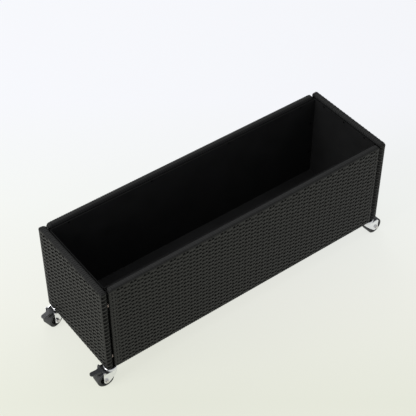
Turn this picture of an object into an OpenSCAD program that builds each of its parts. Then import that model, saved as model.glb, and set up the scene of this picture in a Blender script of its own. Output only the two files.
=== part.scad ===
// Rolling planter: woven panels on tube frames, flat inner boards and four swivel casters.
// Millimetres, +Z up, ground at z = 0, length along X, front at -Y.

/* [Overall size] */
// overall length over the end panels
planter_l = 965.2; // [600:1:1400]
// overall width over the long panels
planter_w = 304.8; // [220:1:500]
// overall height from the ground to the top rails
planter_h = 361; // [280:1:600]
// height of the floor's top face above the ground
floor_z = 76.2; // [72:0.2:90]

/* [Frames and woven skins] */
// outside diameter of the frame tubes
tube_d = 19; // [16:0.5:25]
// wall of the frame tubes
tube_wall = 1.5; // [1:0.1:3]
// thickness of the strands wrapped round the tubes
wrap_t = 1.5; // [1:0.1:2.5]
// thickness of the woven face
weave_t = 3; // [2:0.1:5]
// how far the woven face lies inside the rails' outer line
weave_inset = 0.5; // [0.3:0.1:1]
// open slot between a long panel and an end panel
panel_gap = 3.4; // [2.6:0.1:8]
// joint between the winding of a long rail and that of an upright
sleeve_joint = 0.1; // [0.1:0.05:0.4]

/* [Boards and floor] */
// thickness of the inner boards
board_t = 3; // [2:0.5:8]
// how far the inner boards rise above the top rails' centre line
board_rise = 4; // [3.6:0.1:5.5]
// width of the bars under the floor
bar_w = 30; // [20:1:60]
// thickness of the bars under the floor
bar_t = 2; // [1.5:0.1:2]
// distance from the middle to the outer floor bars
bar_x = 300; // [150:5:330]
// play round the floor board and between boards
board_play = 0.2; // [0.1:0.05:0.3]

/* [Fasteners] */
// thread diameter of the panel bolts
bolt_d = 6; // [5:1:8]
// drop of the upper bolts below the top
bolt_drop = 59; // [35:0.5:70]
// rise of the lower bolts above the panels' lower edge
bolt_rise = 42.5; // [30:0.5:70]
// diameter of the wood-type screws
screw_d = 3.2; // [2.5:0.1:4]
// diameter of the screw heads
screw_head_d = 6.8; // [5.5:0.1:7]

/* [Casters] */
// height of a caster from the ground to its top plate's upper face
caster_h = 60; // [60:0.5:63]
// wheel diameter
wheel_d = 50; // [46:0.5:50]
// wheel width over the tread
wheel_w = 30; // [18:0.5:30]
// distance from the swivel axis back to the axle
trail = 22.5; // [20:0.5:24]
// distance from an end tube's axis in to the swivel axis, along X and along Y
axis_in = 7.5; // [6:0.5:9]
// thickness of the caster's top plate
plate_t = 1.8; // [1.8:0.1:2]
// diameter of the fork's crown and of the race cap
crown_d = 37.6; // [36:0.1:40]
// thickness of the fork's pressed steel
fork_t = 2; // [1.5:0.1:2.5]
// axle diameter
axle_d = 6; // [5:0.5:8]
// diameter of the king pin the fork turns on
king_d = 8; // [6:0.5:9]
// radial play of the turning pieces
play = 0.05; // [0.02:0.01:0.1]
// turn of the front left caster
left_turn = -3; // [-30:1:30]
// turn of the rear left caster
rear_left_turn = -14; // [-30:1:30]
// turn of the right casters
right_turn = -3; // [-30:1:30]

/* [Brake pedals] */
// reach of the pedal from the swivel axis
pedal_reach = 62; // [60:0.5:80]
// width of the pedal's tab
tab_w = 14; // [12:0.5:24]
// gap between the brake shoe and the wheel when released
shoe_gap = 4; // [3.2:0.1:4.4]

/* [Show] */
// piece to show

/* [Hidden] */

steel_dark = [0.16, 0.16, 0.16];
weave_dark = [0.13, 0.13, 0.12];
board_dark = [0.05, 0.05, 0.05];
zinc = [0.75, 0.73, 0.7];
chrome = [0.85, 0.86, 0.88];
wheel_dark = [0.1, 0.1, 0.1];
pedal_grey = [0.22, 0.22, 0.22];

r_t = tube_d/2;
r_bore = r_t - tube_wall;
r_w = r_t + wrap_t;
half_l = planter_l/2;
half_w = planter_w/2;
end_x = half_l - r_w;
side_y = half_w - r_w;
long_end = half_l - 2*r_w - panel_gap;
long_x = long_end - r_w;
base_z = caster_h;
top_z = planter_h - r_w;
low_z = base_z + r_w;
mid_z = (top_z + low_z)/2;
span_z = top_z - low_z;
board_y = side_y - r_w;
board_x = end_x - r_w;
board_top = top_z + board_rise;
bolt_zs = [base_z + bolt_rise, planter_h - bolt_drop];
board_screw_xs = [-0.9*long_x, -0.3*long_x, 0.3*long_x, 0.9*long_x];
board_screw_ys = [-0.62*side_y, 0, 0.62*side_y];
board_screw_zs = [low_z + 0.3*span_z, low_z + 0.7*span_z];
floor_screw_y = 0.42*side_y;

// caster levels, measured in the caster's own frame
wheel_r = wheel_d/2;
crown_r = crown_d/2;
axle_r = axle_d/2;
king_r = king_d/2;
flange_z = caster_h - plate_t;
axis_x = end_x - axis_in;
axis_y = side_y - axis_in;
plate_out = axis_in + 4.5;
plate_in = 27;
plate_round = 4;
plate_screw_in = 22;
ball_r = 1.6;
ball_ring = 10;
ball_z = flange_z - 2.6;
cap_under = flange_z - 1.5;
crown_top = flange_z - 4;
crown_under = crown_top - fork_t;
crown_round = 3;
skirt_top = crown_top - crown_round;
skirt_low = crown_top - 7;
leg_in = crown_r - fork_t;
boss_h = 0.8;
leg_out = crown_r + boss_h;
tip_r = 10;
tip_x = -(trail - 2);
tip_z = wheel_r - 1.5;
back_x = tip_x - tip_r;
head_h = 4;
nut_h = 5;
hub_half = leg_in - 0.2;
tread_round = 2.2;
rim_r = wheel_r - 6.2;
pivot_x = back_x + 4;
pivot_z = crown_top - 0.2;
pivot_r = 1.5;
barrel_r = 3;
ear_r = 3.7;
barrel_half = leg_in - 0.3;
arm_half = 9.5;
shoe_far = pivot_x - 16;
shoe_near = pivot_x - 6;
shoe_drop = 12;

// how far each end of the planter reaches, so that the frame's origin sits mid-way
least_turn = min(abs(left_turn), abs(rear_left_turn));
reach_left = axis_x + (pedal_reach - tab_w/2)*cos(least_turn) + tab_w/2;
wheel_reach = (trail + wheel_r - tread_round)*cos(right_turn);
reach_right = axis_x + wheel_reach + (wheel_w/2 - tread_round)*abs(sin(right_turn)) + tread_round;
shift_x = (reach_left - reach_right)/2;

// ---------- helpers ----------
module rod_x(len, r) {
  rotate([0, 90, 0])
    cylinder(h = len, r = r, center = true, $fn = 64);
}

module rod_y(len, r) {
  rotate([90, 0, 0])
    cylinder(h = len, r = r, center = true, $fn = 64);
}

module rod_z(len, r) {
  cylinder(h = len, r = r, center = true, $fn = 64);
}

// closed loop of round bar in the XZ plane, with ball corners
module long_loop(r) {
  for (z = [low_z, top_z])
    translate([0, 0, z])
      rod_x(2*long_x, r);
  for (x = [-long_x, long_x])
    translate([x, 0, mid_z])
      rod_z(span_z, r);
  for (x = [-long_x, long_x], z = [low_z, top_z])
    translate([x, 0, z])
      sphere(r = r, $fn = 64);
}

// the same loop in the YZ plane
module end_loop(r) {
  for (z = [low_z, top_z])
    translate([0, 0, z])
      rod_y(2*side_y, r);
  for (y = [-side_y, side_y])
    translate([0, y, mid_z])
      rod_z(span_z, r);
  for (y = [-side_y, side_y], z = [low_z, top_z])
    translate([0, y, z])
      sphere(r = r, $fn = 64);
}

// puts a long panel on the front (row = -1) or the rear (row = 1)
module long_side(row) {
  translate([shift_x, row*side_y, 0])
    mirror([0, row > 0 ? 1 : 0, 0])
      children();
}

// puts an end panel on the left (side = -1) or the right (side = 1)
module end_side(side) {
  translate([shift_x + side*end_x, 0, 0])
    mirror([side > 0 ? 1 : 0, 0, 0])
      children();
}

// puts a piece on one corner's swivel axis, its outer side towards -X and -Y
module above_axis(side, row) {
  translate([shift_x + side*axis_x, row*axis_y, 0])
    mirror([side > 0 ? 1 : 0, 0, 0])
      mirror([0, row > 0 ? 1 : 0, 0])
        children();
}

// puts a caster piece under one corner, trailing away from the middle
module corner(side, row) {
  turn = side > 0 ? right_turn : (row > 0 ? rear_left_turn : left_turn);
  above_axis(side, row)
    rotate([0, 0, turn])
      children();
}

// bores for the panel bolts through a long panel's end tubes
module long_bolt_bores(r) {
  for (x = [-long_x, long_x], z = bolt_zs)
    translate([x, 0, z])
      rod_x(4*r_w, r);
}

// bores for the screws that hold a long panel's inner board, floor bars and caster plates
module long_screw_bores(r) {
  for (x = board_screw_xs)
    translate([x, r_t, top_z])
      rod_y(2*r_t, r);
  for (x = [-long_x, long_x], z = board_screw_zs)
    translate([x, r_t, z])
      rod_y(2*r_t, r);
  for (x = [plate_screw_in - axis_x, -bar_x, 0, bar_x, axis_x - plate_screw_in])
    translate([x, 0, low_z - r_t])
      rod_z(2*r_t, r);
}

// bores for the screws that hold the inner board and the caster plates of an end panel
module end_screw_bores(r) {
  for (y = board_screw_ys)
    translate([r_t, y, top_z])
      rod_x(2*r_t, r);
  for (y = [plate_screw_in - axis_y, axis_y - plate_screw_in])
    translate([0, y, low_z - r_t])
      rod_z(2*r_t, r);
}

// ---------- frames ----------
module long_frame(row) {
  color(steel_dark)
    long_side(row)
      difference() {
        long_loop(r_t);
        long_loop(r_bore);
        long_bolt_bores(bolt_d/2 + 0.3);
        long_screw_bores(screw_d/2);
      }
}

module end_frame(side) {
  color(steel_dark)
    end_side(side)
      difference() {
        end_loop(r_t);
        end_loop(r_bore);
        for (y = [-side_y, side_y], z = bolt_zs)
          translate([r_t, y, z])
            rod_x(2*r_t, bolt_d/2 + 1.6);
        end_screw_bores(screw_d/2);
      }
}

// ---------- woven skins: sleeves round the tubes and a face between them ----------
module long_sleeves(row) {
  color(weave_dark)
    long_side(row)
      difference() {
        long_loop(r_w);
        long_loop(r_t);
        long_bolt_bores(bolt_d/2 + 0.3);
        long_screw_bores(screw_d/2 + 0.1);
        sleeve_joints();
      }
}

// each rail and each upright is wound on its own, so the winding is cut beside the uprights
module sleeve_joints() {
  for (x = [-1, 1])
    translate([x*(long_x - r_w - 0.4), 0, mid_z])
      cube([sleeve_joint, 3*r_w, span_z + 3*r_w], center = true);
}

module long_weave(row) {
  color(weave_dark)
    long_side(row)
      difference() {
        translate([-long_x, weave_inset - r_w, low_z])
          cube([2*long_x, weave_t, span_z]);
        long_loop(r_w);
      }
}

module end_weave(side) {
  color(weave_dark)
    end_side(side)
      difference() {
        union() {
          end_loop(r_w);
          translate([weave_inset - r_w, -side_y, low_z])
            cube([weave_t, 2*side_y, span_z]);
        }
        end_loop(r_t);
        for (y = [-side_y, side_y], z = bolt_zs)
          translate([r_t, y, z])
            rod_x(2*r_t, bolt_d/2 + 3.2);
        end_screw_bores(screw_d/2 + 0.1);
      }
}

// ---------- inner boards and floor ----------
module countersink(r_head) {
  cylinder(h = 1.8, r1 = r_head, r2 = screw_d/2, $fn = 48);
}

module long_board(row) {
  color(board_dark)
    long_side(row)
      difference() {
        translate([-long_end, r_w, base_z])
          cube([2*long_end, board_t, board_top - base_z]);
        for (x = board_screw_xs)
          translate([x, r_w + board_t, top_z])
            rotate([90, 0, 0])
              union() {
                countersink(screw_head_d/2);
                cylinder(h = 2*board_t, r = screw_d/2, $fn = 48);
              }
        for (x = [-long_x, long_x], z = board_screw_zs)
          translate([x, r_w + board_t, z])
            rotate([90, 0, 0])
              union() {
                countersink(screw_head_d/2);
                cylinder(h = 2*board_t, r = screw_d/2, $fn = 48);
              }
      }
}

module end_board(side) {
  w = 2*(board_y - board_t - board_play);
  color(board_dark)
    end_side(side)
      difference() {
        translate([r_w, -w/2, base_z])
          cube([board_t, w, board_top - base_z]);
        for (y = board_screw_ys)
          translate([r_w + board_t, y, top_z])
            rotate([0, -90, 0])
              union() {
                countersink(screw_head_d/2);
                cylinder(h = 2*board_t, r = screw_d/2, $fn = 48);
              }
      }
}

module floor_board() {
  l = 2*(board_x - board_t - board_play);
  w = 2*(board_y - board_t - board_play);
  color(board_dark)
    translate([shift_x, 0, 0])
      difference() {
        translate([-l/2, -w/2, base_z])
          cube([l, w, floor_z - base_z]);
        for (x = [-bar_x, 0, bar_x], y = [-floor_screw_y, floor_screw_y])
          translate([x, y, base_z])
            rod_z(2*8, screw_d/2);
      }
}

// flat bars under the floor, rounded at their ends
module floor_bars() {
  reach = side_y + 6;
  color(steel_dark)
    for (x = [-bar_x, 0, bar_x])
      translate([shift_x + x, 0, base_z - bar_t])
        linear_extrude(height = bar_t)
          difference() {
            union() {
              square([bar_w, 2*(reach - bar_w/4)], center = true);
              square([bar_w/2, 2*reach], center = true);
              for (i = [-1, 1], j = [-1, 1])
                translate([i*bar_w/4, j*(reach - bar_w/4)])
                  circle(r = bar_w/4, $fn = 48);
            }
            for (y = [-side_y, -floor_screw_y, floor_screw_y, side_y])
              translate([0, y])
                circle(r = screw_d/2, $fn = 48);
          }
}

// pan-head screw pointing up, its head's seat at the origin
module pan_screw(len) {
  union() {
    cylinder(h = len, r = screw_d/2, $fn = 32);
    difference() {
      translate([0, 0, -1.8])
        cylinder(h = 1.8, r = screw_head_d/2, $fn = 32);
      for (a = [0, 90])
        rotate([0, 0, a])
          translate([-2, -0.5, -2.8])
            cube([4, 1, 2]);
    }
  }
}

module floor_screws() {
  color(zinc)
    for (x = [-bar_x, 0, bar_x], y = [-side_y, -floor_screw_y, floor_screw_y, side_y])
      translate([shift_x + x, y, base_z - bar_t])
        pan_screw(bar_t + 7.5);
}

// countersunk screw pointing along +Z from the board's face at the origin
module board_screw() {
  difference() {
    union() {
      countersink(screw_head_d/2);
      cylinder(h = board_t + wrap_t + tube_wall + 5, r = screw_d/2, $fn = 32);
    }
    for (a = [0, 90])
      rotate([0, 0, a])
        translate([-1.7, -0.4, -1])
          cube([3.4, 0.8, 1.9]);
  }
}

module board_screws() {
  color(steel_dark)
    union() {
      for (row = [-1, 1])
        long_side(row)
          translate([0, r_w + board_t, 0])
            union() {
              for (x = board_screw_xs)
                translate([x, 0, top_z])
                  rotate([90, 0, 0])
                    board_screw();
              for (x = [-long_x, long_x], z = board_screw_zs)
                translate([x, 0, z])
                  rotate([90, 0, 0])
                    board_screw();
            }
      for (side = [-1, 1])
        end_side(side)
          for (y = board_screw_ys)
            translate([r_w + board_t, y, top_z])
              rotate([0, -90, 0])
                board_screw();
    }
}

// ---------- what joins the panels ----------
// placed at a corner, pointing outwards along X from the long panel into the end panel
module at_bolts() {
  for (side = [-1, 1], row = [-1, 1], z = bolt_zs)
    translate([shift_x, row*side_y, z])
      rotate([0, side*90, 0])
        children();
}

module panel_bolts() {
  seat = long_x - r_w;
  color(zinc)
    at_bolts()
      difference() {
        union() {
          translate([0, 0, seat])
            cylinder(h = end_x + r_bore - 2 - seat, r = bolt_d/2 - 0.05, $fn = 48);
          translate([0, 0, seat - bolt_d])
            cylinder(h = bolt_d, r = 0.83*bolt_d, $fn = 48);
        }
        translate([0, 0, seat - bolt_d - 1])
          cylinder(h = 0.5*bolt_d + 1, r = 0.48*bolt_d, $fn = 6);
      }
}

module gap_spacers() {
  color(zinc)
    at_bolts()
      translate([0, 0, long_end])
        difference() {
          cylinder(h = panel_gap, r = bolt_d/2 + 1.2, $fn = 48);
          translate([0, 0, -1])
            cylinder(h = panel_gap + 2, r = bolt_d/2, $fn = 48);
        }
}

module rivet_nuts() {
  seat = end_x - r_t;
  color(zinc)
    at_bolts()
      difference() {
        union() {
          translate([0, 0, seat - 1])
            cylinder(h = 1, r = bolt_d/2 + 3, $fn = 48);
          translate([0, 0, seat - 0.5])
            cylinder(h = 11.5, r = bolt_d/2 + 1.55, $fn = 48);
        }
        translate([0, 0, seat - 2])
          cylinder(h = 15, r = bolt_d/2, $fn = 48);
      }
}

// square top plates of the casters, under the corners
module caster_plates() {
  w = plate_out + plate_in;
  color(steel_dark)
    for (side = [-1, 1], row = [-1, 1])
      above_axis(side, row)
        difference() {
          translate([plate_in - w/2, plate_in - w/2, flange_z])
            linear_extrude(height = plate_t)
              union() {
                square([w, w - 2*plate_round], center = true);
                square([w - 2*plate_round, w], center = true);
                for (i = [-1, 1], j = [-1, 1])
                  translate([i*(w/2 - plate_round), j*(w/2 - plate_round)])
                    circle(r = plate_round, $fn = 48);
              }
          translate([0, 0, flange_z])
            rod_z(4*plate_t, king_r);
          at_plate_screws()
            union() {
              countersink(screw_head_d/2);
              cylinder(h = 2*plate_t, r = screw_d/2, $fn = 48);
            }
        }
}

// one place on the end rail and one on the long rail
module at_plate_screws() {
  for (p = [[-axis_in, plate_screw_in], [plate_screw_in, -axis_in]])
    translate([p[0], p[1], flange_z])
      children();
}

module plate_screws() {
  color(zinc)
    for (side = [-1, 1], row = [-1, 1])
      above_axis(side, row)
        at_plate_screws()
          difference() {
            union() {
              countersink(screw_head_d/2);
              cylinder(h = plate_t + 7.5, r = screw_d/2, $fn = 32);
            }
            for (a = [0, 90])
              rotate([0, 0, a])
                translate([-1.7, -0.4, -1])
                  cube([3.4, 0.8, 1.9]);
          }
}

// ---------- caster pieces, swivel axis on Z, wheel trailing towards -X ----------
module king_pin() {
  color(zinc)
    union() {
      translate([0, 0, crown_under - 1])
        cylinder(h = caster_h - crown_under + 1, r = king_r, $fn = 64);
      translate([0, 0, crown_under - 2.1])
        cylinder(h = 1.9, r = king_r + 3.2, $fn = 64);
    }
}

module ball_groove() {
  rotate_extrude($fn = 96)
    translate([ball_ring, ball_z])
      circle(r = ball_r + play, $fn = 48);
}

module race_cap() {
  color(chrome)
    difference() {
      rotate_extrude($fn = 96)
        union() {
          translate([king_r, cap_under])
            square([crown_r - crown_round - king_r, 1.5]);
          translate([crown_r - crown_round, flange_z - crown_round])
            difference() {
              intersection() {
                circle(r = crown_round, $fn = 64);
                square([crown_round, crown_round]);
              }
              circle(r = 1.5, $fn = 64);
            }
          translate([crown_r - 1.5, crown_top + 0.3])
            square([1.5, flange_z - crown_round - crown_top - 0.3]);
        }
      ball_groove();
    }
}

module race_balls() {
  color(zinc)
    for (a = [0 : 36 : 324])
      rotate([0, 0, a])
        translate([ball_ring, 0, ball_z])
          sphere(r = ball_r, $fn = 32);
}

// side outline of the fork's legs, drawn in X and Z
module leg_outline() {
  dx = crown_r + 0.2 - tip_x;
  dz = skirt_low - tip_z;
  touch = atan2(dz, dx) - acos(tip_r/sqrt(dx*dx + dz*dz));
  union() {
    translate([tip_x, tip_z])
      circle(r = tip_r, $fn = 96);
    polygon([
      [back_x, tip_z],
      [back_x, skirt_top - 4],
      [back_x + 4, skirt_top],
      [crown_r + 0.2, skirt_top],
      [crown_r + 0.2, skirt_low],
      [tip_x + tip_r*cos(touch), tip_z + tip_r*sin(touch)],
      [tip_x, tip_z]
    ]);
  }
}

// U-shaped wall seen from above, open at the trailing side
module fork_wall() {
  difference() {
    union() {
      circle(r = crown_r, $fn = 96);
      translate([back_x - 5, -crown_r])
        square([-back_x + 5, crown_d]);
    }
    circle(r = leg_in, $fn = 96);
    translate([back_x - 6, -leg_in])
      square([-back_x + 6, 2*leg_in]);
  }
}

module pedal_ears() {
  for (side = [-1, 1])
    translate([pivot_x, side*(crown_r - fork_t/2), pivot_z])
      union() {
        rod_y(fork_t, ear_r);
        translate([-ear_r, -fork_t/2, -8])
          cube([2*ear_r, fork_t, 8]);
      }
}

module fork(braked) {
  color(chrome)
    difference() {
      union() {
        rotate_extrude($fn = 96)
          union() {
            translate([king_r + play, crown_under])
              square([crown_r - crown_round - king_r - play, fork_t]);
            translate([crown_r - crown_round, skirt_top])
              difference() {
                intersection() {
                  circle(r = crown_round, $fn = 64);
                  square([crown_round, crown_round]);
                }
                circle(r = crown_round - fork_t, $fn = 64);
              }
          }
        intersection() {
          linear_extrude(height = skirt_top)
            fork_wall();
          rotate([90, 0, 0])
            linear_extrude(height = crown_d + 10, center = true)
              leg_outline();
        }
        for (side = [-1, 1])
          translate([-trail, side*(leg_in + fork_t/2 + boss_h/2), wheel_r])
            rod_y(fork_t + boss_h, 7.5);
        if (braked)
          pedal_ears();
      }
      ball_groove();
      translate([-trail, 0, wheel_r])
        rod_y(2*crown_d, axle_r + 0.02);
      if (braked)
        translate([pivot_x, 0, pivot_z])
          rod_y(2*crown_d, pivot_r + 0.02);
    }
}

module axle() {
  reach = leg_out + nut_h + 0.5;
  color(zinc)
    translate([-trail, 0, wheel_r])
      rotate([-90, 0, 0])
        union() {
          translate([0, 0, -leg_out])
            cylinder(h = leg_out + reach, r = axle_r, $fn = 64);
          translate([0, 0, -leg_out - head_h])
            cylinder(h = head_h, r = 0.96*axle_d, $fn = 6);
        }
}

module axle_nut() {
  color(zinc)
    translate([-trail, leg_out, wheel_r])
      rotate([-90, 0, 0])
        difference() {
          union() {
            cylinder(h = nut_h - 1.6, r = 0.96*axle_d, $fn = 6);
            translate([0, 0, nut_h - 2])
              cylinder(h = 2, r = 0.8*axle_d, $fn = 48);
          }
          translate([0, 0, -1])
            cylinder(h = nut_h + 2, r = axle_r + 0.02, $fn = 64);
        }
}

module hub() {
  color(wheel_dark)
    translate([-trail, 0, wheel_r])
      rotate([90, 0, 0])
        difference() {
          union() {
            cylinder(h = 2*hub_half, r = axle_r + 4, center = true, $fn = 64);
            cylinder(h = 5, r = rim_r - 1, center = true, $fn = 96);
            difference() {
              cylinder(h = wheel_w - 3, r = rim_r, center = true, $fn = 96);
              cylinder(h = wheel_w, r = rim_r - 2.4, center = true, $fn = 96);
            }
            for (a = [0 : 60 : 300])
              rotate([0, 0, a])
                translate([axle_r + 2, -1, 7 - wheel_w/2])
                  cube([rim_r - axle_r - 3.5, 2, wheel_w - 14]);
          }
          cylinder(h = 3*hub_half, r = axle_r + play, center = true, $fn = 64);
        }
}

module tyre() {
  color(wheel_dark)
    translate([-trail, 0, wheel_r])
      rotate([90, 0, 0])
        rotate_extrude($fn = 128)
          union() {
            translate([rim_r, -wheel_w/2])
              square([wheel_r - rim_r - tread_round, wheel_w]);
            translate([rim_r, tread_round - wheel_w/2])
              square([wheel_r - rim_r, wheel_w - 2*tread_round]);
            for (s = [-1, 1])
              translate([wheel_r - tread_round, s*(wheel_w/2 - tread_round)])
                circle(r = tread_round, $fn = 64);
          }
}

module pedal_pin() {
  color(zinc)
    translate([pivot_x, 0, pivot_z])
      union() {
        rod_y(2*crown_r + 1, pivot_r);
        for (s = [-1, 1])
          translate([0, s*(crown_r + 0.5), 0])
            rod_y(1, pivot_r + 1.2);
      }
}

// side outline of the pedal, drawn in X and Z
module pedal_side() {
  polygon([
    [pivot_x, pivot_z + barrel_r - 0.3],
    [-pedal_reach - 1, pivot_z + 3.6],
    [-pedal_reach - 1, pivot_z + 0.4],
    [shoe_far - 2, pivot_z - 0.6],
    [shoe_far, pivot_z - shoe_drop],
    [shoe_near, pivot_z - shoe_drop],
    [pivot_x, pivot_z - 1]
  ]);
}

// outline of the pedal from above: wide at its barrel, rounded at its tab
module pedal_plan() {
  union() {
    polygon([
      [pivot_x + 1, -arm_half],
      [pivot_x + 1, arm_half],
      [pivot_x - 5, arm_half],
      [pivot_x - 13, tab_w/2],
      [tab_w/2 - pedal_reach, tab_w/2],
      [tab_w/2 - pedal_reach, -tab_w/2],
      [pivot_x - 13, -tab_w/2],
      [pivot_x - 5, -arm_half]
    ]);
    translate([tab_w/2 - pedal_reach, 0])
      circle(r = tab_w/2, $fn = 96);
  }
}

module brake_pedal() {
  color(pedal_grey)
    difference() {
      union() {
        difference() {
          intersection() {
            rotate([90, 0, 0])
              linear_extrude(height = crown_d, center = true)
                pedal_side();
            translate([0, 0, wheel_r])
              linear_extrude(height = caster_h)
                pedal_plan();
          }
          translate([-trail, 0, wheel_r])
            rod_y(2*crown_d, wheel_r + shoe_gap);
        }
        translate([pivot_x, 0, pivot_z])
          rod_y(2*barrel_half, barrel_r);
      }
      translate([pivot_x, 0, pivot_z])
        rod_y(3*barrel_half, pivot_r + play);
      for (i = [0 : 2])
        translate([-pedal_reach + 4 + 4*i, -0.3*tab_w, pivot_z + 2.7])
          cube([1.4, 0.6*tab_w, 2]);
    }
}

// ---------- every node ----------
end_frame(-1);  // end_frame_left
end_frame(1);  // end_frame_right
long_frame(-1);  // long_frame_front
long_frame(1);  // long_frame_rear
end_weave(-1);  // weave_left
end_weave(1);  // weave_right
long_weave(-1);  // weave_front
long_weave(1);  // weave_rear
long_sleeves(-1);  // rail_sleeves_front
long_sleeves(1);  // rail_sleeves_rear
end_board(-1);  // inner_board_left
end_board(1);  // inner_board_right
long_board(-1);  // inner_board_front
long_board(1);  // inner_board_rear
floor_board();
floor_bars();
floor_screws();
board_screws();
panel_bolts();
gap_spacers();
rivet_nuts();
caster_plates();
plate_screws();
corner(-1, -1) king_pin();  // king_pin_front_left
corner(-1, 1) king_pin();  // king_pin_rear_left
corner(1, -1) king_pin();  // king_pin_front_right
corner(1, 1) king_pin();  // king_pin_rear_right
corner(-1, -1) race_cap();  // race_cap_front_left
corner(-1, 1) race_cap();  // race_cap_rear_left
corner(1, -1) race_cap();  // race_cap_front_right
corner(1, 1) race_cap();  // race_cap_rear_right
corner(-1, -1) race_balls();  // race_balls_front_left
corner(-1, 1) race_balls();  // race_balls_rear_left
corner(1, -1) race_balls();  // race_balls_front_right
corner(1, 1) race_balls();  // race_balls_rear_right
corner(-1, -1) fork(true);  // fork_front_left
corner(-1, 1) fork(true);  // fork_rear_left
corner(1, -1) fork(false);  // fork_front_right
corner(1, 1) fork(false);  // fork_rear_right
corner(-1, -1) axle();  // axle_front_left
corner(-1, 1) axle();  // axle_rear_left
corner(1, -1) axle();  // axle_front_right
corner(1, 1) axle();  // axle_rear_right
corner(-1, -1) axle_nut();  // axle_nut_front_left
corner(-1, 1) axle_nut();  // axle_nut_rear_left
corner(1, -1) axle_nut();  // axle_nut_front_right
corner(1, 1) axle_nut();  // axle_nut_rear_right
corner(-1, -1) hub();  // hub_front_left
corner(-1, 1) hub();  // hub_rear_left
corner(1, -1) hub();  // hub_front_right
corner(1, 1) hub();  // hub_rear_right
corner(-1, -1) tyre();  // tyre_front_left
corner(-1, 1) tyre();  // tyre_rear_left
corner(1, -1) tyre();  // tyre_front_right
corner(1, 1) tyre();  // tyre_rear_right
corner(-1, -1) pedal_pin();  // pedal_pin_front_left
corner(-1, 1) pedal_pin();  // pedal_pin_rear_left
corner(-1, -1) brake_pedal();  // brake_pedal_front_left
corner(-1, 1) brake_pedal();  // brake_pedal_rear_left
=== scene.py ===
"""Rolling planter: woven panels on tube frames, inner boards, floor and four swivel casters.

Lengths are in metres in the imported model's own frame. The strands of the four skins are made here;
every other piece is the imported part's own mesh, with softened edges and a finish.
"""

import math

import bpy
import numpy as np
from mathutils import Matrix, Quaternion, Vector

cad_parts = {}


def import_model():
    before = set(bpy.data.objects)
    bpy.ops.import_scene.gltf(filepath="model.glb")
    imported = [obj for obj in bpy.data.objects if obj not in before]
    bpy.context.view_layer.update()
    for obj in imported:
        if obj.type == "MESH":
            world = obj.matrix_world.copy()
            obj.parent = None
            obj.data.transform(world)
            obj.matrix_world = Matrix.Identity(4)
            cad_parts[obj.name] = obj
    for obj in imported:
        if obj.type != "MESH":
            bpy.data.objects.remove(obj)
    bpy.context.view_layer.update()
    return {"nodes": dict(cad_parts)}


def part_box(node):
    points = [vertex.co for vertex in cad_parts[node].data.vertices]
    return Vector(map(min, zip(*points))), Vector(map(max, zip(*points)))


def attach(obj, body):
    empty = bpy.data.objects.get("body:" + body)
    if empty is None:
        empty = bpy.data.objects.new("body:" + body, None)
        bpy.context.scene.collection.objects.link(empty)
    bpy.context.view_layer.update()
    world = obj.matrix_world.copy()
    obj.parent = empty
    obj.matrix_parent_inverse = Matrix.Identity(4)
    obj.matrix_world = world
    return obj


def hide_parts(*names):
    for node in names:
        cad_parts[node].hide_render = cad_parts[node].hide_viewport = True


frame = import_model()
NODES = frame["nodes"]

MM = 0.001
Z_UP = np.array([0.0, 0.0, 1.0])

# ---------- the planter's own sizes, as in the part's source ----------
LENGTH, WIDTH = 0.9652, 0.3048
TUBE_R, WRAP_R = 9.5 * MM, 11.0 * MM
PANEL_GAP = 3.4 * MM
BASE_Z, HEIGHT = (corner.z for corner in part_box("weave_left"))
MIDDLE_X = (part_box("end_frame_left")[0].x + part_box("end_frame_right")[1].x) / 2
# axes of the tubes: of the end panels, of the long panels, of a long panel's end tubes, and of the rails
END_X = LENGTH / 2 - WRAP_R
SIDE_Y = WIDTH / 2 - WRAP_R
LONG_X = LENGTH / 2 - 3 * WRAP_R - PANEL_GAP
TOP_Z = HEIGHT - WRAP_R
LOW_Z = BASE_Z + WRAP_R

# ---------- the weave's own sizes, measured in the photograph ----------
LONG_PITCH, LONG_STAKES = 20.45 * MM, 44  # from stake to stake on a long panel, and how many at that pitch
FIRST_STAKE = 16.75 * MM  # place of stake 0 from the planter's left end; stake 1 lies on the end tube
END_PITCH, END_STAKES = 20.0 * MM, 14  # the pitch and the number on an end panel
END_MARGIN = 13.7 * MM  # from the last of those 14 to the axis of the end tube after it
LAST_STAKE = 5.9 * MM  # one more stake lies this far beyond the axis of a panel's last end tube
ROW_PITCH = 6.86 * MM
ROWS = range(0, 44)  # the first and the last lie under the winding of the rails
ROW_SPREAD = 0.1 * MM  # how unevenly the rows lie in height
WEAVER_W, WEAVER_T = 6.8 * MM, 1.2 * MM
STAKE_W, STAKE_T = 5.6 * MM, 1.2 * MM
SKIN_PLAY = 0.1 * MM  # how far the strands stay inside the solids' outline
RAIL_FLAT = 4.0 * MM  # half the flat part of a rail's side

# how far out from the tubes' axis the stakes lie, and how far a row goes before one
FACE_DEPTH, FACE_BEFORE = 9.1 * MM, 1.25 * MM
# the same for a stake on an end tube, and how far a row goes behind it there
TUBE_DEPTH, TUBE_BEFORE, TUBE_BEHIND = 9.95 * MM, 0.45 * MM, -0.4 * MM
# how far a stake gives way to a row before it and to a row behind it
FACE_PRESSED, TUBE_PRESSED = (-0.35 * MM, 0.45 * MM), (-0.2 * MM, 0.2 * MM)
ON_TUBE = TUBE_R / 1.2  # a stake nearer than this to an end tube's axis lies on the tube

# a row's points between two stakes, as shares of the way: on the face, and beside an end tube
FACE_STEPS = (0.33, 0.44, 0.56, 0.67, 1.0)
TUBE_STEPS = (0.14, 0.26, 0.34, 0.42, 0.5, 0.58, 0.66, 0.78, 1.0)
# where on that way a row starts to cross the skin, inward and outward, and over how much of it
CROSS_IN, CROSS_OUT, CROSS_SPAN = 0.34, 0.32, 0.34
DIP_NARROW = 0.04  # half the share of its width that a row loses from before a stake to behind it
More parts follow.
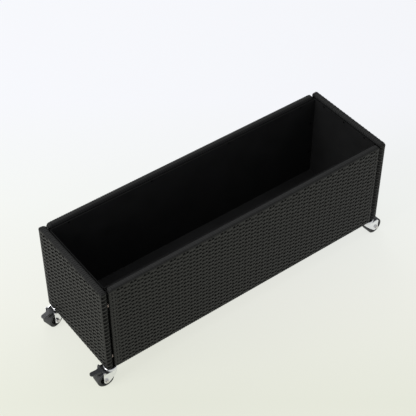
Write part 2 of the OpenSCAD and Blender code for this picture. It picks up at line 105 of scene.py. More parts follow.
# beside a stake on an end tube a row narrows and gets painted shade: how far from the stake, how wide, and how
# narrow it gets
SINK_AT, SINK_SPREAD, SINK_NARROW = 4.2 * MM, 1.8 * MM, 0.9
# on a panel's narrow side: over what depth the rows fade into painted shade, and how narrow a row and one that dips
# there get
SIDE_FADE, SIDE_NARROW, SIDE_DIP_NARROW = 5.0 * MM, 0.1, 0.55
# points of a row round an end tube's edge and, where it is tucked, round the tube itself, from this many degrees on
EDGE_POINTS, TUCK_POINTS, TUCK_FROM = 6, 7, -14
# the flat strip behind the rows beside an end tube: distance from the tube's axis, width, depth and points
STRIP_IN, STRIP_W, STRIP_DEPTH, STRIP_POINTS = 20.0 * MM, 20.0 * MM, -1.0 * MM, 24

# ---------- the winding of the rails ----------
TURN_W, TURN_POINTS = 6.83 * MM, 8  # one turn on a rail: its width and its points over it
TURN_FALL = 1.4 * MM  # how far a turn falls away at its edges
TURN_FLAT = 2.6  # how flat a turn is over its width, as the power of its outline
TURN_SLANT = 0.25  # how far a turn leans along the rail on its way over it, as a share of its width
# how square a rail is on its outer side, on its inner side and round a corner, as powers
OUTER_SQUARE, INNER_SQUARE, CORNER_SQUARE = 6, 2.4, 3
INNER_CLOSER, INNER_EASE = 0.8 * MM, 0.7  # how much closer the inner side lies, and the angle that takes
SHADE_EASE = 0.35  # angle over which the shade on the inner side comes in
AROUND_POINTS, AROUND_TO = 24, math.radians(250)  # points over a rail, and where its winding ends inside
TUCK_BACK, TUCK_SHARE = 0.3, 0.78  # the first edge lies this angle behind the rows, at this share of the radius
CORNER_TURNS, CORNER_RINGS, CORNER_TURN_W = 3, 19, 6 * MM
TONE_STEP, CORNER_TONE_STEP = 0.137, 0.21  # from the tone of one turn to that of the next


# ---------- small helpers ----------
def new_object(name, verts, faces, rounded=True):
    mesh = bpy.data.meshes.new(name)
    mesh.from_pydata([tuple(v) for v in verts], [], faces)
    mesh.validate()
    mesh.update()
    if rounded:
        mesh.polygons.foreach_set("use_smooth", [True] * len(mesh.polygons))
    obj = bpy.data.objects.new(name, mesh)
    bpy.context.scene.collection.objects.link(obj)
    return obj


class Mesh:
    """Collects strands and surfaces before they become one object."""

    def __init__(self):
        self.verts, self.faces, self.lay, self.hollow, self.count = [], [], [], [], 0

    def grid(self, points, lay, hollow, closed=False):
        """Adds rows x columns of points: an open surface, or a closed strand with both ends capped.

        lay says how far along, how far across and which strand; the next argument is painted shade, 1 down in a
        groove.
        """
        rows, cols = points.shape[:2]
        index = np.arange(rows * cols).reshape(rows, cols) + self.count
        here, there = index[:-1], index[1:]
        if closed:
            a, b, c, d = here, np.roll(here, -1, axis=1), np.roll(there, -1, axis=1), there
        else:
            a, b, c, d = here[:, :-1], here[:, 1:], there[:, 1:], there[:, :-1]
        self.faces.append(np.stack([a, b, c, d], axis=-1).reshape(-1, 4))
        self.verts.append(points.reshape(-1, 3))
        self.lay.append(lay.reshape(-1, 3))
        self.hollow.append(np.broadcast_to(hollow, points.shape[:2]).reshape(-1))
        self.count += rows * cols
        if closed:
            for ring, flip in ((index[0], True), (index[-1], False)):
                for i in range(cols // 2 - 1):
                    quad = [ring[i], ring[i + 1], ring[cols - 2 - i], ring[cols - 1 - i]]
                    self.faces.append(np.array([quad[::-1] if flip else quad]))

    def build(self, name):
        faces = np.concatenate(self.faces)
        obj = new_object(name, np.concatenate(self.verts), faces.tolist())
        lay = obj.data.attributes.new("lay", "FLOAT_VECTOR", "POINT")
        lay.data.foreach_set("vector", np.concatenate(self.lay).astype(np.float32).ravel())
        hollow = obj.data.attributes.new("hollow", "FLOAT", "POINT")
        hollow.data.foreach_set("value", np.concatenate(self.hollow).astype(np.float32))
        return obj


# cross-section of a flat strand with a crowned face: across, outward
STRAND_SECTION = np.array(
    [(-1.0, 0.0), (-0.82, 0.62), (-0.35, 1.0), (0.35, 1.0), (0.82, 0.62), (1.0, 0.0), (0.7, -0.8), (-0.7, -0.8)]
)


def strand(mesh, path, across, outward, width, thick, seed, sunk_and_shaded=0.0):
    """Sweeps the strand's section along a path; the last argument is how much painted shade each point gets."""
    path, across, outward = map(np.asarray, (path, across, outward))
    n = len(path)
    width = np.broadcast_to(width, n)[:, None, None]
    section = STRAND_SECTION[None, :, :]
    wide = across[:, None, :] * (section[..., :1] * width / 2)
    high = outward[:, None, :] * (section[..., 1:] * thick / 2)
    points = path[:, None, :] + wide + high
    steps = np.concatenate([[0], np.cumsum(np.linalg.norm(np.diff(path, axis=0), axis=1))])
    lay = np.zeros(points.shape)
    lay[..., 0] = steps[:, None]
    lay[..., 1] = STRAND_SECTION[None, :, 0] * WEAVER_W / 2
    lay[..., 2] = seed
    mesh.grid(points, lay, np.broadcast_to(sunk_and_shaded, n)[:, None], closed=True)


def ease(x):
    """From 0 to 1 with soft ends."""
    x = np.clip(x, 0.0, 1.0)
    return x * x * (3 - 2 * x)


def squared(x, y, power):
    """How much further out than a circle a nearly square outline lies, in the direction (x, y)."""
    return (np.abs(x) ** power + np.abs(y) ** power) ** (-1 / power)


# ---------- one panel, in its own frame: t along the panel, w outward, z up ----------
def panel_frame(origin, along, outward):
    """A function from the panel's frame to the model's, and the panel's two directions."""
    origin, along, outward = Vector(origin), Vector(along), Vector(outward)

    def world(t, w, z):
        t, w, z = np.broadcast_arrays(t, w, z)
        base = np.stack([t, w, z], axis=-1)
        axes = np.array([along, outward, (0, 0, 1)])
        return base @ axes + np.array(origin)

    return world, np.array(along), np.array(outward)


def over_rails(w, z):
    """Bends the flat face round the upper and lower rails: outward and up, and the lean of the face there."""
    turn = FACE_DEPTH - RAIL_FLAT
    flat_z = np.clip(z, LOW_Z - RAIL_FLAT, TOP_Z + RAIL_FLAT)
    lean = (z - flat_z) / turn
    return RAIL_FLAT + (w - RAIL_FLAT) * np.cos(lean), flat_z + (w - RAIL_FLAT) * np.sin(lean), lean


def leaning(lean, outward):
    """The face's own outward and upward directions where it leans."""
    cos, sin = np.cos(lean)[:, None], np.sin(lean)[:, None]
    return cos * outward + sin * Z_UP, cos * Z_UP - sin * outward


def weave_over(row, stake):
    """True where a row passes before a stake."""
    return (row + stake) % 2 == 0


def row_height(panel, row):
    return HEIGHT - panel["drop"] - ROW_PITCH * row


def on_tube(panel, t):
    """True for a place along the panel that lies on one of its end tubes."""
    return abs(abs(t) - panel["reach"]) < ON_TUBE


def wrap_end(panel):
    """A row's way round an end tube, nearly square on the outer side: along and outward."""
    half = WRAP_R - SKIN_PLAY - WEAVER_T / 2
    side = half + panel["stands_out"]
    turn = np.radians(np.linspace(90, 0, EDGE_POINTS))
    edge = panel["edge_turn"]
    front = np.stack([side - edge + edge * np.cos(turn), half - edge + edge * np.sin(turn)], axis=-1)
    if panel["tucked"]:
        # the inner side lies close round the tube
        turn = np.radians(np.linspace(TUCK_FROM, -90, TUCK_POINTS))
        close = TUBE_R + WEAVER_T / 2
        back = np.stack([close * np.cos(turn), close * np.sin(turn)], axis=-1)
    else:
        back = front[::-1] * (1, -1)
    return np.concatenate([front, back])


def row_plan(panel, row, left, right):
    """A row seen from above, from one end tube to the other, and the stakes beside which it sinks."""
    knots, sunk_at = [tuple(left[-1])], []
    for k, t in panel["stakes"]:
        over = weave_over(row, k)
        if on_tube(panel, t):
            depth = TUBE_DEPTH + (TUBE_BEFORE if over else TUBE_BEHIND)
            if not over:
                sunk_at.append(t)
        else:
            depth = FACE_DEPTH + (FACE_BEFORE if over else panel["behind"])
        knots.append((t, depth))
    knots.append(tuple(right[0]))
    flat = []
    for (t0, d0), (t1, d1) in zip(knots, knots[1:]):
        start = CROSS_IN if d0 > d1 else CROSS_OUT
        for f in TUBE_STEPS if on_tube(panel, t0) or on_tube(panel, t1) else FACE_STEPS:
            flat.append((t0 + (t1 - t0) * f, d0 + (d1 - d0) * float(ease((f - start) / CROSS_SPAN))))
    return np.concatenate([left, flat[:-1], right]), sunk_at


def weavers(name, panel):
    """The rows: each runs before and behind the stakes, and at both ends round the end tube."""
    world, along, outward = panel["place"]
    reach, stakes = panel["reach"], panel["stakes"]
    mesh = Mesh()
    rng = np.random.default_rng(len(stakes))
    right = wrap_end(panel) + (reach, 0)
    left = (right * (-1, 1))[::-1]
    for row in ROWS[1:-1]:
        plan, sunk_at = row_plan(panel, row, left, right)
        heights = np.full(len(plan), row_height(panel, row) + rng.normal(0, ROW_SPREAD))
        tangent = np.gradient(plan, axis=0)
        tangent /= np.linalg.norm(tangent, axis=1)[:, None]
        normal = np.stack([-tangent[:, 1], tangent[:, 0]], axis=-1)
        w, bent_z, lean = over_rails(plan[:, 1], heights)
        path = world(plan[:, 0], w, bent_z)
        face_out, up = leaning(lean, outward)
        out = normal[:, :1] * along + normal[:, 1:] * face_out
        # a strand is a little narrower where it dips behind a stake
        depth = np.clip((plan[:, 1] - FACE_DEPTH) / FACE_BEFORE, -1, 1)
        width = WEAVER_W * (1 - DIP_NARROW + DIP_NARROW * depth)
        # and on both sides of a stake that a tube holds out it narrows and gets painted shade
        sunk_and_shaded = np.zeros(len(plan))
        for t in sunk_at:
            beside = (np.abs(plan[:, 0] - t) - SINK_AT) / SINK_SPREAD
            sunk_and_shaded = np.maximum(sunk_and_shaded, np.exp(-(beside**2)) * (plan[:, 1] > 0))
        width = width * (1 - SINK_NARROW * sunk_and_shaded)
        # every second row dips on the narrow side of the panel, and all of them narrow and get painted shade by its
        # inner edge
        dips = not weave_over(row, stakes[-1][0])
        fade_from, narrow = (SIDE_FADE, SIDE_DIP_NARROW) if dips else (0.0, SIDE_NARROW)
        side = ease((fade_from - plan[:, 1]) / SIDE_FADE) * (np.abs(plan[:, 0]) > reach)
        width = width * (1 - narrow * side)
        strand(mesh, path, up, out, width, WEAVER_T, rng.random(), np.maximum(sunk_and_shaded, side))
    return mesh.build(name)


def stake_strands(name, panel):
    """The upright stakes, pressed a little the other way by each row and bent in over both rails."""
    world, along, outward = panel["place"]
    mesh = Mesh()
    rng = np.random.default_rng(7 + len(panel["stakes"]))
    row_z = [row_height(panel, row) for row in ROWS]
    n = len(row_z) * 2 - 1  # one point at each row and one between
    halves, whole = np.arange(n) / 2, np.arange(len(row_z))
    for k, t in panel["stakes"]:
        middle, (pressed, free) = (TUBE_DEPTH, TUBE_PRESSED) if on_tube(panel, t) else (FACE_DEPTH, FACE_PRESSED)
        depths = [middle + (pressed if weave_over(row, k) else free) for row in ROWS]
        w, bent_z, lean = over_rails(np.interp(halves, whole, depths), np.interp(halves, whole, row_z))
        path = world(np.full(n, t), w, bent_z)
        out, _ = leaning(lean, outward)
        strand(mesh, path, np.tile(along, (n, 1)), out, STAKE_W, STAKE_T, rng.random())
    # a flat strip behind the rows beside each end tube closes the skin there
    n = STRIP_POINTS
    for sign in (-1, 1):
        path = world(sign * (panel["reach"] - STRIP_IN), STRIP_DEPTH, np.linspace(TOP_Z, LOW_Z, n))
        strand(mesh, path, np.tile(along, (n, 1)), np.tile(outward, (n, 1)), STRIP_W, STAKE_T, 0.5)
    return mesh.build(name)


def crown(x):
    """Height of one wound turn over its width, 0 at its edges and 1 over most of the middle."""
    f = np.abs((x % 1.0) * 2 - 1)
    return np.sqrt(np.clip(1 - f**TURN_FLAT, 0, 1))


def rail_section(a):
    """Radius of a wound rail, nearly square outside and round inside; the angle runs from outward over the top."""
    outer = squared(np.cos(a), np.sin(a), OUTER_SQUARE)
    inner = squared(np.cos(a), np.sin(a), INNER_SQUARE)
    closer = INNER_CLOSER * ease((a - math.pi / 2) / INNER_EASE)
    return (WRAP_R - SKIN_PLAY) * np.where(a < math.pi / 2, outer, inner) - closer


def in_shade(panel, a, groove):
    """How much painted shade a point of the winding gets: in its grooves and down the rail's inner side."""
    inner = ease((a - math.radians(panel["shade_angle"]) + SHADE_EASE * groove) / SHADE_EASE)
    return np.maximum(groove, inner)


def coil(mesh, panel, z, up, start, seed):
    """The top or underside of a rail, wound with flat strand; every_other sinks each second turn a little."""
    world, _, _ = panel["place"]
    reach = panel["reach"]
    turns = max(2, round(2 * reach / TURN_W / 2) * 2)
    s = np.linspace(0, turns, turns * TURN_POINTS + 1)[:, None]
    a = np.concatenate([[start - TUCK_BACK], np.linspace(start, AROUND_TO, AROUND_POINTS)])[None, :]
    phase = s + TURN_SLANT * np.sin(a / 2) ** 2
    low = panel["every_other"] * (np.floor(phase) % 2)
    radius = rail_section(a) - low - TURN_FALL * (1 - crown(phase))
    radius[:, 0] *= TUCK_SHARE
    t = -reach + 2 * reach * s / turns + 0 * a
    points = world(t, radius * np.cos(a), z + up * radius * np.sin(a))
    lay = (a * WRAP_R, (phase % 1.0) * TURN_W, seed + np.floor(phase) * TONE_STEP)
    # painted shade in the grooves between turns and down the rail's inner side
    mesh.grid(points, np.stack(np.broadcast_arrays(*lay), axis=-1), in_shade(panel, a, 1 - crown(phase)))


def ball_corner(mesh, panel, t, z, start, seed):
    """A rounded corner that carries the winding from a rail on to an end tube."""
    world, _, _ = panel["place"]
    f = np.linspace(0, 1, CORNER_TURNS * TURN_POINTS + 1)[:, None]
    a = np.linspace(0, math.pi, CORNER_RINGS)[None, :]
    phase = f * CORNER_TURNS
    low = panel["every_other"] * (np.floor(np.minimum(phase, CORNER_TURNS - 0.001)) % 2)
    dip = (1 - crown(phase)) * np.sin(a)
    radius = rail_section(a) - low * np.sin(a) - TURN_FALL * dip
    turned = start + f * math.pi / 2
    out = radius * np.sin(a) * squared(np.cos(turned), np.sin(turned), CORNER_SQUARE)
    points = world(t + out * np.cos(turned), radius * np.cos(a), z + out * np.sin(turned))
    lay = (a * WRAP_R, (phase % 1.0) * CORNER_TURN_W, seed + np.floor(phase) * CORNER_TONE_STEP)
    # painted shade in the grooves between turns and down the rail's inner side
    mesh.grid(points, np.stack(np.broadcast_arrays(*lay), axis=-1), in_shade(panel, a, dip))


def rail_winding(name, panel):
    """Both rails' winding from just behind the first and the last row that show, and the four corners."""
    reach = panel["reach"]
    mesh = Mesh()
    for z, up, row, seed in ((TOP_Z, 1, ROWS[0], 0.2), (LOW_Z, -1, ROWS[-2], 0.6)):
        edge = row_height(panel, row + 0.5)
        coil(mesh, panel, z, up, math.atan2(abs(edge - z), WRAP_R), seed)
    for t, z, start in (
        (reach, TOP_Z, 0.0),
        (-reach, TOP_Z, math.pi / 2),
        (-reach, LOW_Z, math.pi),
        (reach, LOW_Z, 1.5 * math.pi),
    ):
        ball_corner(mesh, panel, t, z, start, abs(math.sin(start + t)))
    return mesh.build(name)


# ---------- shared effects ----------
def group(name, inputs, outputs):
    tree = bpy.data.node_groups.new(name, "ShaderNodeTree")
    for label, kind, value in inputs:
        sock = tree.interface.new_socket(label, in_out="INPUT", socket_type=kind)
        if value is not None:
            sock.default_value = value
    for label, kind in outputs:
        tree.interface.new_socket(label, in_out="OUTPUT", socket_type=kind)
    return tree, tree.nodes.new("NodeGroupInput"), tree.nodes.new("NodeGroupOutput")


def add(tree, kind, **values):
    """A new node; each value is one of its properties or, with spaces for underscores, one of its inputs."""
    made = tree.nodes.new(kind)
    for key, value in values.items():
        if hasattr(made, key):
            setattr(made, key, value)
        else:
            made.inputs[key.replace("_", " ")].default_value = value
    return made


def reckon(tree, operation, *terms, use_clamp=False):
    """The outcome of a Math node; a term is a number or another node's output."""
    made = add(tree, "ShaderNodeMath", operation=operation, use_clamp=use_clamp)
    for socket, term in zip(made.inputs, terms):
        if isinstance(term, float):
            socket.default_value = term
        else:
            tree.links.new(term, socket)
    return made.outputs[0]


def uneven_tone_group():
    """Slow blotches between 0 and 1, for colour and roughness."""
    tree, come, go = group(
        "uneven_tone",
        [
            ("Vector", "NodeSocketVector", None),
            ("Scale", "NodeSocketFloat", 30.0),
            ("Contrast", "NodeSocketFloat", 1.0),
        ],
        [("Mask", "NodeSocketFloat")],
    )
    noise = add(tree, "ShaderNodeTexNoise", Detail=4.0, Roughness=0.6)
    tree.links.new(come.outputs["Vector"], noise.inputs["Vector"])
    tree.links.new(come.outputs["Scale"], noise.inputs["Scale"])
    spread = reckon(tree, "SUBTRACT", noise.outputs["Fac"], 0.5)
    mask = reckon(tree, "MULTIPLY_ADD", spread, come.outputs["Contrast"], 0.5, use_clamp=True)
    tree.links.new(mask, go.inputs["Mask"])
    return tree


def fine_relief_group():
    """Fine grain as a normal, for cast, moulded and painted faces."""
    tree, come, go = group(
        "fine_relief",
        [
            ("Vector", "NodeSocketVector", None),
            ("Scale", "NodeSocketFloat", 800.0),
            ("Strength", "NodeSocketFloat", 0.1),
            ("Height", "NodeSocketFloat", 0.0002),
        ],
        [("Normal", "NodeSocketVector")],
    )
    noise = add(tree, "ShaderNodeTexNoise", Detail=3.0, Roughness=0.55)
    tree.links.new(come.outputs["Vector"], noise.inputs["Vector"])
    tree.links.new(come.outputs["Scale"], noise.inputs["Scale"])
    bump = add(tree, "ShaderNodeBump")
    tree.links.new(noise.outputs["Fac"], bump.inputs["Height"])
    tree.links.new(come.outputs["Strength"], bump.inputs["Strength"])
    tree.links.new(come.outputs["Height"], bump.inputs["Distance"])
    tree.links.new(bump.outputs["Normal"], go.inputs["Normal"])
    return tree


ALONG_SCALE = 22.0  # how fast the lines change along a strand
STRAND_STEP = 57.0  # how far apart two strands' lines lie in the noise
OWN_SHARE = 0.5  # share of a strand's own tone, against that of its lines
TONE_SPAN, TONE_LOW = 0.55, 0.45


def strand_lines_group():
    """Fine lines along an extruded strand, a tone of its own for each strand, and painted shade down in the hollows.
    """
    tree, come, go = group(
        "strand_lines",
        [
            ("Lay", "NodeSocketVector", None),
            ("Hollow", "NodeSocketFloat", 0.0),
            ("Hollow Dark", "NodeSocketFloat", 0.5),
            ("Lines", "NodeSocketFloat", 2600.0),
            ("Depth", "NodeSocketFloat", 0.00012),
        ],
        [("Tone", "NodeSocketFloat"), ("Normal", "NodeSocketVector")],
    )
    part = add(tree, "ShaderNodeSeparateXYZ")
    tree.links.new(come.outputs["Lay"], part.inputs[0])
    slow = reckon(tree, "MULTIPLY", part.outputs["X"], ALONG_SCALE)
    lines = reckon(tree, "MULTIPLY", part.outputs["Y"], come.outputs["Lines"])
    which = reckon(tree, "MULTIPLY", part.outputs["Z"], STRAND_STEP)
    join = add(tree, "ShaderNodeCombineXYZ")
    for source, label in ((slow, "X"), (lines, "Y"), (which, "Z")):
        tree.links.new(source, join.inputs[label])
    noise = add(tree, "ShaderNodeTexNoise", Scale=1.0, Detail=3.0, Roughness=0.5)
    tree.links.new(join.outputs[0], noise.inputs["Vector"])
    bump = add(tree, "ShaderNodeBump", Strength=0.35)
    tree.links.new(noise.outputs["Fac"], bump.inputs["Height"])
    tree.links.new(come.outputs["Depth"], bump.inputs["Distance"])
    tree.links.new(bump.outputs["Normal"], go.inputs["Normal"])
    white = add(tree, "ShaderNodeTexWhiteNoise", noise_dimensions="1D")
    tree.links.new(which, white.inputs["W"])
    blend = add(tree, "ShaderNodeMix", data_type="FLOAT")
    blend.inputs[0].default_value = OWN_SHARE
    tree.links.new(noise.outputs["Fac"], blend.inputs[2])
    tree.links.new(white.outputs["Value"], blend.inputs[3])
    lift = reckon(tree, "MULTIPLY_ADD", blend.outputs[0], TONE_SPAN, TONE_LOW)
    sink = reckon(tree, "MULTIPLY", come.outputs["Hollow"], come.outputs["Hollow Dark"], use_clamp=True)
    keep = reckon(tree, "SUBTRACT", 1.0, sink)
    tree.links.new(reckon(tree, "MULTIPLY", lift, keep), go.inputs["Tone"])
    return tree


GROUPS = {
    "uneven_tone": uneven_tone_group(),
    "fine_relief": fine_relief_group(),
    "strand_lines": strand_lines_group(),
}


class Finish:
    """A material under construction."""

    def __init__(self, name):
        self.mat = bpy.data.materials.new(name)
        self.mat.use_nodes = True
        self.tree = self.mat.node_tree
        self.shader = self.tree.nodes["Principled BSDF"]

    def use(self, name, **values):
        made = self.tree.nodes.new("ShaderNodeGroup")
        made.node_tree = GROUPS[name]
        for key, value in values.items():
            made.inputs[key.replace("_", " ")].default_value = value
        return made

    def link(self, out, socket):
        self.tree.links.new(out, socket)

    def place(self):
        return add(self.tree, "ShaderNodeTexCoord").outputs["Object"]

    def set(self, **values):
        for key, value in values.items():
            self.shader.inputs[key.replace("_", " ")].default_value = value

    def spread(self, value, low, high, **limits):
        """A value brought from its own limits, 0 and 1 unless they are given, to low and high."""
        spread = add(self.tree, "ShaderNodeMapRange", To_Min=low, To_Max=high, **limits)
        self.link(value, spread.inputs["Value"])
        return spread.outputs[0]

    def mix(self, mask, dark, light):
        """A blend of two colours; either may be another node's output."""
        blend = add(self.tree, "ShaderNodeMix", data_type="RGBA")
        self.link(mask, blend.inputs[0])
        for socket, colour in ((blend.inputs[6], dark), (blend.inputs[7], light)):
            if isinstance(colour, tuple):
                socket.default_value = (*colour, 1)
            else:
                self.link(colour, socket)
        return blend.outputs[2]

    def colour(self, out):
        self.link(out, self.shader.inputs["Base Color"])

    def rough(self, out):
        self.link(out, self.shader.inputs["Roughness"])


def strand_finish(name, dark, light, rough, hollow_dark, gloss=0.3):
    """Extruded strand: lines along it, its own tone, and near black painted shade down in the hollows."""
    fin = Finish(name)
    lay = add(fin.tree, "ShaderNodeAttribute", attribute_name="lay").outputs["Vector"]
    hollow = add(fin.tree, "ShaderNodeAttribute", attribute_name="hollow").outputs["Fac"]
    lines = fin.use("strand_lines", Hollow_Dark=hollow_dark)
    fin.link(lay, lines.inputs["Lay"])
    fin.link(hollow, lines.inputs["Hollow"])
    fin.colour(fin.mix(lines.outputs["Tone"], dark, light))
    fin.rough(fin.spread(lines.outputs["Tone"], *rough))
    fin.link(lines.outputs["Normal"], fin.shader.inputs["Normal"])
    fin.set(Specular_IOR_Level=gloss)
    return fin.mat


def plain_finish(name, dark, light, rough, scale, grain=(900.0, 0.12, 0.0002), upward_shade=None, **values):
    """Moulded, painted or plated face: blotches in tone and roughness, and a fine grain.

    A colour given for edges that look upward is painted shade on them, where they differ from the rest.
    """
    fin = Finish(name)
    where = fin.place()
    tone = fin.use("uneven_tone", Scale=scale, Contrast=1.6)
    fin.link(where, tone.inputs["Vector"])
    colour = fin.mix(tone.outputs["Mask"], dark, light)
    if upward_shade:
        # painted shade on the edges that look upward
        part = add(fin.tree, "ShaderNodeSeparateXYZ")
        fin.link(add(fin.tree, "ShaderNodeNewGeometry").outputs["Normal"], part.inputs[0])
        upward = fin.spread(part.outputs["Z"], 0.0, 1.0, From_Min=0.5, From_Max=0.9)
        colour = fin.mix(upward, colour, upward_shade)
    fin.colour(colour)
    fin.rough(fin.spread(tone.outputs["Mask"], *rough))
    relief = fin.use("fine_relief", Scale=grain[0], Strength=grain[1], Height=grain[2])
    fin.link(where, relief.inputs["Vector"])
    fin.link(relief.outputs["Normal"], fin.shader.inputs["Normal"])
    fin.set(**values)
    return fin.mat


# ---------- the finishes ----------
# the strands' colour runs from SHADED, the near black of painted shade down in the hollows, to CHARCOAL, their own
# colour
SHADED = (0.0008, 0.0008, 0.0008)
CHARCOAL = (0.022, 0.0216, 0.0198)
WOVEN = strand_finish("woven_strand", SHADED, CHARCOAL, (0.4, 0.6), 1.0)
STAKE = strand_finish("upright_stake", SHADED, CHARCOAL, (0.4, 0.65), 0.0)
# the winding is a little darker than the rows' strands: painted shade on the rails' tops
WOUND = strand_finish("wound_rail", SHADED, (0.018, 0.018, 0.017), (0.5, 0.65), 1.0, gloss=0.2)

SHEET_GRAIN = (400.0, 0.1, 0.0002)
PAINT = plain_finish(
    "frame_paint", (0.0015, 0.0015, 0.0015), (0.003, 0.003, 0.003), (0.5, 0.65), 60.0, Specular_IOR_Level=0.06
)
# the cut edge on top of a board lies under the rail's strands and gets near black painted shade
BOARD = plain_finish(
    "inner_board",
    (0.0088, 0.0088, 0.009),
    (0.0145, 0.0145, 0.0146),
    (0.55, 0.7),
    18.0,
    grain=SHEET_GRAIN,
    upward_shade=(0.0006, 0.0006, 0.0006),
    Specular_IOR_Level=0.12,
)
FLOOR_BOARD = plain_finish(
    "floor_sheet", (0.0066, 0.0066, 0.0067), (0.0106, 0.0106, 0.0107), (0.5, 0.65), 14.0, grain=SHEET_GRAIN
)
PLATED = plain_finish(
    "plated_fork", (0.74, 0.75, 0.77), (0.9, 0.9, 0.91), (0.1, 0.24), 90.0, grain=(500.0, 0.05, 0.0002), Metallic=1.0
)
SPACER = plain_finish("dull_spacer", (0.5, 0.39, 0.33), (0.66, 0.55, 0.49), (0.4, 0.55), 260.0, Metallic=0.6)
ZINC = plain_finish("zinc_steel", (0.56, 0.54, 0.52), (0.74, 0.72, 0.7), (0.28, 0.42), 260.0, Metallic=1.0)
HUB = plain_finish("hub_plastic", (0.016, 0.016, 0.016), (0.028, 0.028, 0.028), (0.4, 0.55), 120.0)
TREAD = plain_finish(
    "tread_rubber", (0.022, 0.022, 0.023), (0.042, 0.042, 0.044), (0.5, 0.7), 110.0, grain=(1500.0, 0.25, 0.0002)
)
PEDAL = plain_finish("pedal_plastic", (0.035, 0.036, 0.038), (0.055, 0.056, 0.059), (0.34, 0.46), 140.0)

# the finish of each node by the start of its name; all others are zinc plated
FINISH_OF = {
    "end_frame": PAINT,
    "long_frame": PAINT,
    "floor_bars": PAINT,
    "board_screws": PAINT,
    "caster_plates": PAINT,
    "inner_board": BOARD,
    "floor_board": FLOOR_BOARD,
    "fork": PLATED,
    "race_cap": PLATED,
    "hub": HUB,
    "tyre": TREAD,
    "brake_pedal": PEDAL,
    "gap_spacers": SPACER,
    "panel_bolts": SPACER,
    "rivet_nuts": SPACER,
}
# width of the softened edges, in millimetres
ROUNDED = {"fork": 0.5, "brake_pedal": 0.8, "race_cap": 0.3, "axle": 0.35, "hub": 0.4, "floor_bars": 0.4}


def by_name(table, node, other):
    """What a table holds for a node, by the start of the node's name."""
    return next((value for start, value in table.items() if node.startswith(start)), other)


for name, obj in NODES.items():
    obj.data.materials.clear()
    obj.data.materials.append(by_name(FINISH_OF, name, ZINC))
    size = by_name(ROUNDED, name, 0)
    if size:
        edge = obj.modifiers.new("softened_edges", "BEVEL")
        edge.width, edge.segments = size * MM, 2
        edge.limit_method, edge.angle_limit = "ANGLE", math.radians(40)
        edge.use_clamp_overlap = True


# ---------- the four woven skins ----------
def stakes(first, pitch, count, reach):
    """Number and place of each stake: those at the pitch, and one on the last end tube."""
    return [(k, first + pitch * k) for k in range(1, count + 1)] + [(count + 1, reach + LAST_STAKE)]


LONG_PLACES = stakes(FIRST_STAKE - LENGTH / 2, LONG_PITCH, LONG_STAKES, LONG_X)
END_PLACES = stakes(SIDE_Y - END_MARGIN - END_PITCH * END_STAKES, END_PITCH, END_STAKES, SIDE_Y)

# drop: from the top to the middle of row 0; behind: how far a row goes behind a stake; every_other: how far each
# second turn of the winding sinks; edge_turn, stands_out and tucked: a row's way round an end tube, see wrap_end;
# shade_angle: where on a rail's inner side the painted shade begins, in degrees from outward
LONG_WEAVE = {
    "drop": 2.82 * MM,
    "behind": -1.0 * MM,
    "every_other": 0.0,
    "edge_turn": 2.6 * MM,
    "stands_out": 1.4 * MM,
    "tucked": False,
    "shade_angle": 97,
}
END_WEAVE = {
    "drop": 0.5 * MM,
    "behind": -1.7 * MM,
    "every_other": 0.45 * MM,
    "edge_turn": 5.0 * MM,
    "stands_out": 0.0,
    "tucked": True,
    "shade_angle": 118,
}


def long_panel(row, places):
    place = panel_frame((MIDDLE_X, row * SIDE_Y, 0), (-row, 0, 0), (0, row, 0))
    return {"place": place, "reach": LONG_X, "stakes": places, **LONG_WEAVE}


def end_panel(side):
    place = panel_frame((MIDDLE_X + side * END_X, 0, 0), (0, side, 0), (side, 0, 0))
    return {"place": place, "reach": SIDE_Y, "stakes": END_PLACES, **END_WEAVE}


PANELS = {
    "front": long_panel(-1, LONG_PLACES),
    "rear": long_panel(1, [(k + 1, t) for k, t in LONG_PLACES]),
    "left": end_panel(-1),
    "right": end_panel(1),
}


def skin_node(side, piece):
    """The solid that a piece of the skin stands for: a long panel's rails have sleeves of their own."""
    sleeves = f"rail_sleeves_{side}"
    return sleeves if piece.name.startswith("rail_winding") and sleeves in NODES else f"weave_{side}"


for side, panel in PANELS.items():
    made = (
        (weavers(f"woven_rows_{side}", panel), WOVEN),
        (stake_strands(f"stakes_{side}", panel), STAKE),
        (rail_winding(f"rail_winding_{side}", panel), WOUND),
    )
    for piece, mat in made:
        piece.data.materials.append(mat)
        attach(piece, "planter")
        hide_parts(skin_node(side, piece))

# ---------- floor ----------
# direction away from the camera over the floor, and the nearest and furthest place that the tints span
AWAY, NEAREST, FURTHEST = (0.6, 0.8, 0.0), -0.46, 0.82
# tint of the floor from the front of the view to the back
FLOOR_TINTS = (
    (0.0, (0.823, 0.839, 0.738)),
    (0.28, (0.888, 0.896, 0.831)),
    (0.61, (0.922, 0.939, 0.913)),
    (1.0, (0.939, 0.947, 0.982)),
)
OWN_WHITE = 0.82  # share of the floor's own white, against what the lamps give it
FLOOR_HALF = 8  # half the side of the floor


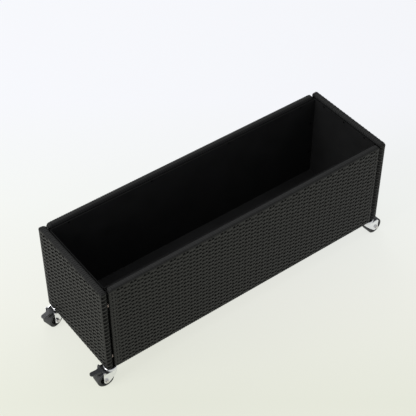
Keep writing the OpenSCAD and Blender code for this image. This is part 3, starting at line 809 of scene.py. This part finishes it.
def pale_floor():
    """Plain pale floor: partly its own white to the camera and to gloss, partly lit, so that it keeps the shadow."""
    fin = Finish("pale_floor")
    tree = fin.tree
    away = add(tree, "ShaderNodeVectorMath", operation="DOT_PRODUCT")
    away.inputs[1].default_value = AWAY
    fin.link(fin.place(), away.inputs[0])
    depth = fin.spread(away.outputs["Value"], 0.0, 1.0, From_Min=NEAREST, From_Max=FURTHEST)
    tint = add(tree, "ShaderNodeValToRGB")
    stops = tint.color_ramp.elements
    while len(stops) < len(FLOOR_TINTS):
        stops.new(0.5)
    for stop, (where, colour) in zip(stops, FLOOR_TINTS):
        stop.position, stop.color = where, (*colour, 1)
    fin.link(depth, tint.inputs[0])
    fin.colour(tint.outputs["Color"])
    fin.set(Roughness=0.9, Specular_IOR_Level=0.0)
    glow = add(tree, "ShaderNodeEmission")
    fin.link(tint.outputs["Color"], glow.inputs["Color"])
    rays = add(tree, "ShaderNodeLightPath")
    seen = reckon(tree, "MAXIMUM", rays.outputs["Is Camera Ray"], rays.outputs["Is Glossy Ray"])
    mix = add(tree, "ShaderNodeMixShader")
    fin.link(reckon(tree, "MULTIPLY", seen, OWN_WHITE), mix.inputs[0])
    fin.link(fin.shader.outputs[0], mix.inputs[1])
    fin.link(glow.outputs[0], mix.inputs[2])
    out = next(n for n in tree.nodes if n.type == "OUTPUT_MATERIAL")
    fin.link(mix.outputs[0], out.inputs["Surface"])
    return fin.mat


floor_corners = [(x * FLOOR_HALF, y * FLOOR_HALF, 0) for x, y in ((-1, -1), (1, -1), (1, 1), (-1, 1))]
floor = new_object("studio_floor", floor_corners, [(0, 1, 2, 3)], rounded=False)
floor.data.materials.append(pale_floor())

# ---------- light ----------
LIT_PLACE = (0, 0, 0.2)  # the middle of the planter, where all lamps point


def softbox(name, place, size, power):
    """A square lamp at a place, aimed at the planter."""
    lamp = bpy.data.lights.new(name, "AREA")
    lamp.shape, lamp.size, lamp.energy = "SQUARE", size, power
    obj = bpy.data.objects.new(name, lamp)
    obj.location = place
    obj.rotation_mode = "QUATERNION"
    obj.rotation_quaternion = (Vector(LIT_PLACE) - Vector(place)).to_track_quat("-Z", "Y")
    bpy.context.scene.collection.objects.link(obj)


softbox("key_light", (-3.0, 0.2, 1.9), 1.8, 60)
softbox("fill_light", (1.6, -2.6, 2.2), 2.4, 3.5)
softbox("back_light", (0.8, 2.4, 2.8), 2.0, 30)

air = bpy.data.worlds.new("studio_air")
air.use_nodes = True
bpy.context.scene.world = air
air_light = air.node_tree.nodes["Background"]
air_light.inputs["Color"].default_value = (0.95, 0.97, 1.0, 1)
air_light.inputs["Strength"].default_value = 0.55

# ---------- camera, fitted to the planter's outline in the photograph ----------
AZIMUTH, ELEVATION, ROLL = math.radians(-36.79), math.radians(43.86), math.radians(-0.08)
FOCAL_LENGTH, SENSOR_WIDTH = 100.19, 36.0  # in millimetres, as Blender takes them
# from the top of the panels, in the middle of the planter, to the camera
CAMERA_AWAY = (-1.4170, -1.8466, 2.1440)

lens = bpy.data.cameras.new("photo_camera")
lens.lens, lens.sensor_width = FOCAL_LENGTH, SENSOR_WIDTH
lens.clip_start, lens.clip_end = 0.05, 50
camera = bpy.data.objects.new("photo_camera", lens)
camera.location = (MIDDLE_X + CAMERA_AWAY[0], CAMERA_AWAY[1], HEIGHT + CAMERA_AWAY[2])
flat = math.cos(ELEVATION)
back = Vector((math.sin(AZIMUTH) * flat, -math.cos(AZIMUTH) * flat, math.sin(ELEVATION)))
camera.rotation_mode = "QUATERNION"
camera.rotation_quaternion = (-back).to_track_quat("-Z", "Y") @ Quaternion((0, 0, 1), ROLL)
bpy.context.scene.collection.objects.link(camera)
bpy.context.scene.camera = camera
bpy.context.scene.view_settings.view_transform = "Standard"
